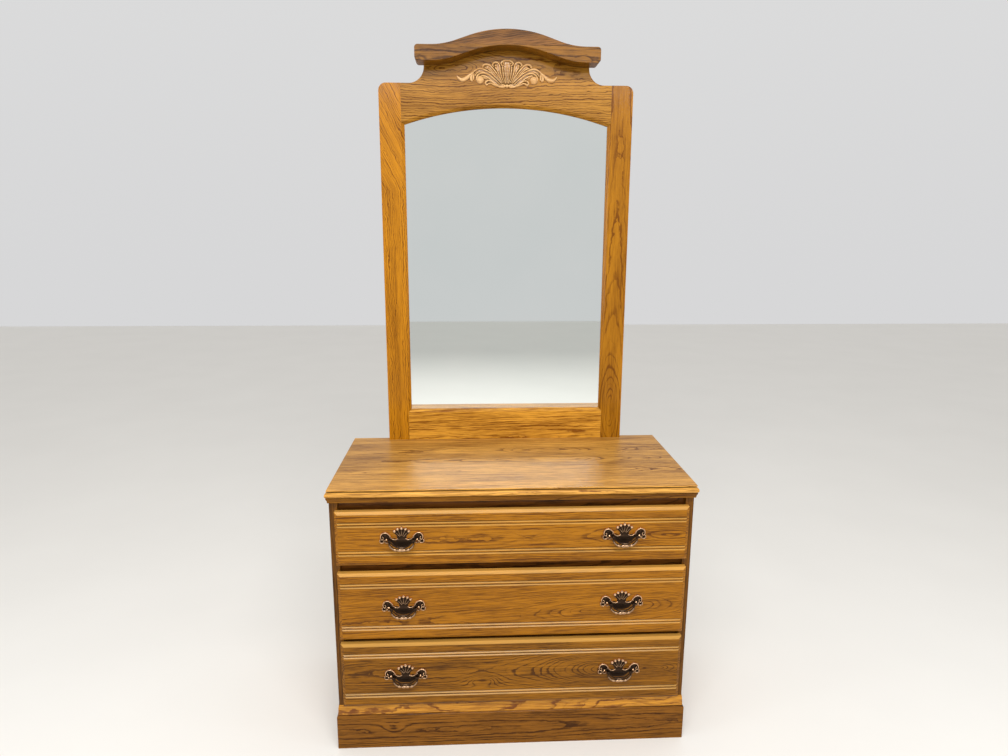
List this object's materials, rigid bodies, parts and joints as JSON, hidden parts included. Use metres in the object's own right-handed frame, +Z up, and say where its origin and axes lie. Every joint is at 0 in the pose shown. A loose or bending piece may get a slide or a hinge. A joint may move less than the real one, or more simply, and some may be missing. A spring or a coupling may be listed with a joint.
{
  "type": "dresser with mirror",
  "caption": "Oak dresser with lipped drawers on bail pulls, a moulded top and plinth, and a framed arched mirror under a curved crest with a carved shell.",
  "frame": {"origin": "on the floor, under the middle of the whole dresser's box", "axes": "+Z up, the drawers open towards -Y, +X to the right as seen from the front"},
  "size_m": [1, 0.5138, 2.0174],
  "materials": {
    "oak": "satin lacquered golden oak",
    "crest_oak": "satin lacquered oak, two boards glued",
    "carving": "satin lacquered carved wood",
    "plain_wood": "bare softwood and plywood",
    "board": "brown hardboard",
    "mirror": "silvered glass",
    "bronze": "dark antique bronze, rubbed bright",
    "steel": "zinc plated"
  },
  "bodies": {
    "case": {"top_panel": "oak", "top_moulding": "oak", "mirror_screws": "steel", "side_panel_left": "oak", "stile_left": "oak", "side_panel_right": "oak", "stile_right": "oak", "back_panel": "plain_wood", "bottom_rail": "oak", "lower_divider_rail": "oak", "upper_divider_rail": "oak", "top_rail": "oak", "drawer_runners": "plain_wood", "rear_rails": "plain_wood", "top_rear_rail": "plain_wood", "plinth_front": "oak", "plinth_left": "oak", "plinth_right": "oak", "plinth_back": "plain_wood", "glue_blocks": "plain_wood", "foot_moulding": "oak", "mirror_post_left": "oak", "mirror_post_right": "oak", "mirror_sill_rail": "oak", "mirror_head": "oak", "mirror_crest": "crest_oak", "mirror_glass": "mirror", "mirror_backboard": "board", "glass_stops": "plain_wood", "mirror_upright_left": "plain_wood", "mirror_upright_right": "plain_wood", "shell_carving": "carving"},
    "lower_drawer": {"lower_drawer_front": "oak", "lower_drawer_side_left": "plain_wood", "lower_drawer_side_right": "plain_wood", "lower_drawer_bottom": "plain_wood", "lower_drawer_back": "plain_wood", "lower_pull_plates": "bronze", "lower_pull_screws": "steel"},
    "middle_drawer": {"middle_drawer_front": "oak", "middle_drawer_side_left": "plain_wood", "middle_drawer_side_right": "plain_wood", "middle_drawer_bottom": "plain_wood", "middle_drawer_back": "plain_wood", "middle_pull_plates": "bronze", "middle_pull_screws": "steel"},
    "upper_drawer": {"upper_drawer_front": "oak", "upper_drawer_side_left": "plain_wood", "upper_drawer_side_right": "plain_wood", "upper_drawer_bottom": "plain_wood", "upper_drawer_back": "plain_wood", "upper_pull_plates": "bronze", "upper_pull_screws": "steel"},
    "lower_left_bail": {"lower_bail_left": "bronze"},
    "lower_right_bail": {"lower_bail_right": "bronze"},
    "middle_left_bail": {"middle_bail_left": "bronze"},
    "middle_right_bail": {"middle_bail_right": "bronze"},
    "upper_left_bail": {"upper_bail_left": "bronze"},
    "upper_right_bail": {"upper_bail_right": "bronze"}
  },
  "joints": [
    {"name": "lower_drawer_slide", "type": "slide", "parent": "case", "child": "lower_drawer", "axis": [0, -1, 0], "range_m": [0, 0.3]},
    {"name": "middle_drawer_slide", "type": "slide", "parent": "case", "child": "middle_drawer", "axis": [0, -1, 0], "range_m": [0, 0.3]},
    {"name": "upper_drawer_slide", "type": "slide", "parent": "case", "child": "upper_drawer", "axis": [0, -1, 0], "range_m": [0, 0.3]},
    {"name": "lower_left_bail_swing", "type": "hinge", "parent": "lower_drawer", "child": "lower_left_bail", "pos_m": [-0.3, -0.25205, 0.241], "axis": [-1, 0, 0], "range_deg": [-18, 100]},
    {"name": "lower_right_bail_swing", "type": "hinge", "parent": "lower_drawer", "child": "lower_right_bail", "pos_m": [0.3, -0.25205, 0.241], "axis": [-1, 0, 0], "range_deg": [-18, 100]},
    {"name": "middle_left_bail_swing", "type": "hinge", "parent": "middle_drawer", "child": "middle_left_bail", "pos_m": [-0.3, -0.25205, 0.4515], "axis": [-1, 0, 0], "range_deg": [-18, 100]},
    {"name": "middle_right_bail_swing", "type": "hinge", "parent": "middle_drawer", "child": "middle_right_bail", "pos_m": [0.3, -0.25205, 0.4515], "axis": [-1, 0, 0], "range_deg": [-18, 100]},
    {"name": "upper_left_bail_swing", "type": "hinge", "parent": "upper_drawer", "child": "upper_left_bail", "pos_m": [-0.3, -0.25205, 0.651], "axis": [-1, 0, 0], "range_deg": [-18, 100]},
    {"name": "upper_right_bail_swing", "type": "hinge", "parent": "upper_drawer", "child": "upper_right_bail", "pos_m": [0.3, -0.25205, 0.651], "axis": [-1, 0, 0], "range_deg": [-18, 100]}
  ]
}
